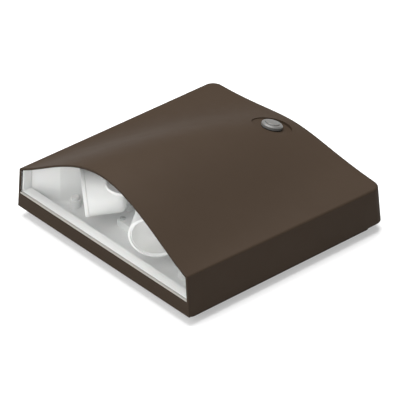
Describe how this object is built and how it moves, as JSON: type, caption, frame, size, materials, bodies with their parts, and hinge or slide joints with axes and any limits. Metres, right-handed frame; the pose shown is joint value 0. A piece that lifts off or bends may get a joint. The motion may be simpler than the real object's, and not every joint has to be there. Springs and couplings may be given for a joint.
{
  "type": "wall pack light",
  "caption": "Low wall pack emergency light: bell-roofed bronze cover, clear window at one end, aimable lamp heads behind it, and a round test button.",
  "frame": {"origin": "under the middle of the back, on the wall plane", "axes": "+Z out of the wall, +Y towards the top of the light as mounted, -Y towards the window end"},
  "size_m": [0.267, 0.266, 0.1158],
  "materials": {
    "bronze_paint": "dark bronze powder coat on die-cast aluminium, fine texture, low sheen",
    "white_plastic": "white moulded plastic, satin",
    "head_plastic": "light grey moulded plastic, satin",
    "bright_mirror": "metallised plastic, bright",
    "clear_window": "clear polycarbonate, polished",
    "grey_seal": "light grey silicone",
    "foam_seal": "black closed-cell foam",
    "steel": "zinc-plated steel",
    "nylon": "natural nylon",
    "button_plastic": "light grey moulded plastic, smooth",
    "cell_can": "nickel-plated battery can",
    "battery_sleeve": "blue shrink sleeve",
    "circuit_board": "green solder mask on glass-epoxy board",
    "sink_metal": "plain extruded aluminium",
    "black_plastic": "black moulded plastic",
    "fuse_glass": "clear glass tube",
    "core_iron": "varnished steel laminations",
    "coil_wire": "enamelled copper wire",
    "led_yellow": "phosphor-coated LED dome",
    "led_green": "green tinted LED"
  },
  "bodies": {
    "back_unit": {"rear_housing": "bronze_paint", "hinge_pins": "steel", "wall_gasket": "foam_seal", "cover_gasket": "foam_seal", "reflector_pan": "white_plastic", "pan_screws": "white_plastic", "lamp_bracket": "white_plastic", "bracket_screws": "steel", "swivel_pins": "steel", "swivel_washers": "nylon", "battery_cells": "cell_can", "battery_wrap": "battery_sleeve", "battery_clamps": "steel", "clamp_screws": "steel", "charger_board": "circuit_board", "board_screws": "steel", "relay": "black_plastic", "heat_sink": "sink_metal", "capacitors": "black_plastic", "fuse": "fuse_glass", "fuse_clips": "steel", "transformer_core": "core_iron", "transformer_coil": "coil_wire", "transformer_screws": "steel", "terminal_block": "black_plastic", "terminal_screws": "steel", "block_screws": "steel", "ground_screw": "steel"},
    "cover": {"front_cover": "bronze_paint", "window_lens": "clear_window", "lens_gasket": "grey_seal", "lens_frame": "white_plastic", "cover_screws": "steel", "cover_nuts": "steel", "button_bezel": "button_plastic", "button_seal": "foam_seal", "button_nut": "nylon", "switch_board": "circuit_board", "test_switch": "black_plastic", "status_led": "led_green", "switch_screws": "steel"},
    "button": {"test_button": "button_plastic", "button_spring": "steel"},
    "left_yoke": {"left_yoke": "head_plastic", "left_tilt_screw": "steel"},
    "left_head": {"left_head_shell": "head_plastic", "left_lamp_mirror": "bright_mirror", "left_lamp_ring": "head_plastic", "left_led_board": "sink_metal", "left_led_dome": "led_yellow"},
    "right_yoke": {"right_yoke": "head_plastic", "right_tilt_screw": "steel"},
    "right_head": {"right_head_shell": "head_plastic", "right_lamp_mirror": "bright_mirror", "right_lamp_ring": "head_plastic", "right_led_board": "sink_metal", "right_led_dome": "led_yellow"}
  },
  "joints": [
    {"name": "cover_swing", "type": "hinge", "parent": "back_unit", "child": "cover", "pos_m": [0, -0.1288, 0.0112], "axis": [1, 0, 0], "range_deg": [0, 40]},
    {"name": "button_press", "type": "slide", "parent": "cover", "child": "button", "axis": [0, -0.3223, -0.9466], "range_m": [0, 0.001], "stiffness_N_per_m": 400, "springref_m": -0.004, "deforming": ["button_spring"]},
    {"name": "left_pan", "type": "hinge", "parent": "back_unit", "child": "left_yoke", "pos_m": [-0.019, -0.067, 0.0629], "axis": [0, 0, -1], "range_deg": [-12, 10]},
    {"name": "left_tilt", "type": "hinge", "parent": "left_yoke", "child": "left_head", "pos_m": [-0.02444, -0.07417, 0.0629], "axis": [-0.7965, 0.6046, 0], "range_deg": [-6, 8]},
    {"name": "right_pan", "type": "hinge", "parent": "back_unit", "child": "right_yoke", "pos_m": [0.019, -0.067, 0.0629], "axis": [0, 0, 1], "range_deg": [-12, 10]},
    {"name": "right_tilt", "type": "hinge", "parent": "right_yoke", "child": "right_head", "pos_m": [0.02444, -0.07417, 0.0629], "axis": [-0.7965, -0.6046, 0], "range_deg": [-6, 8]}
  ]
}
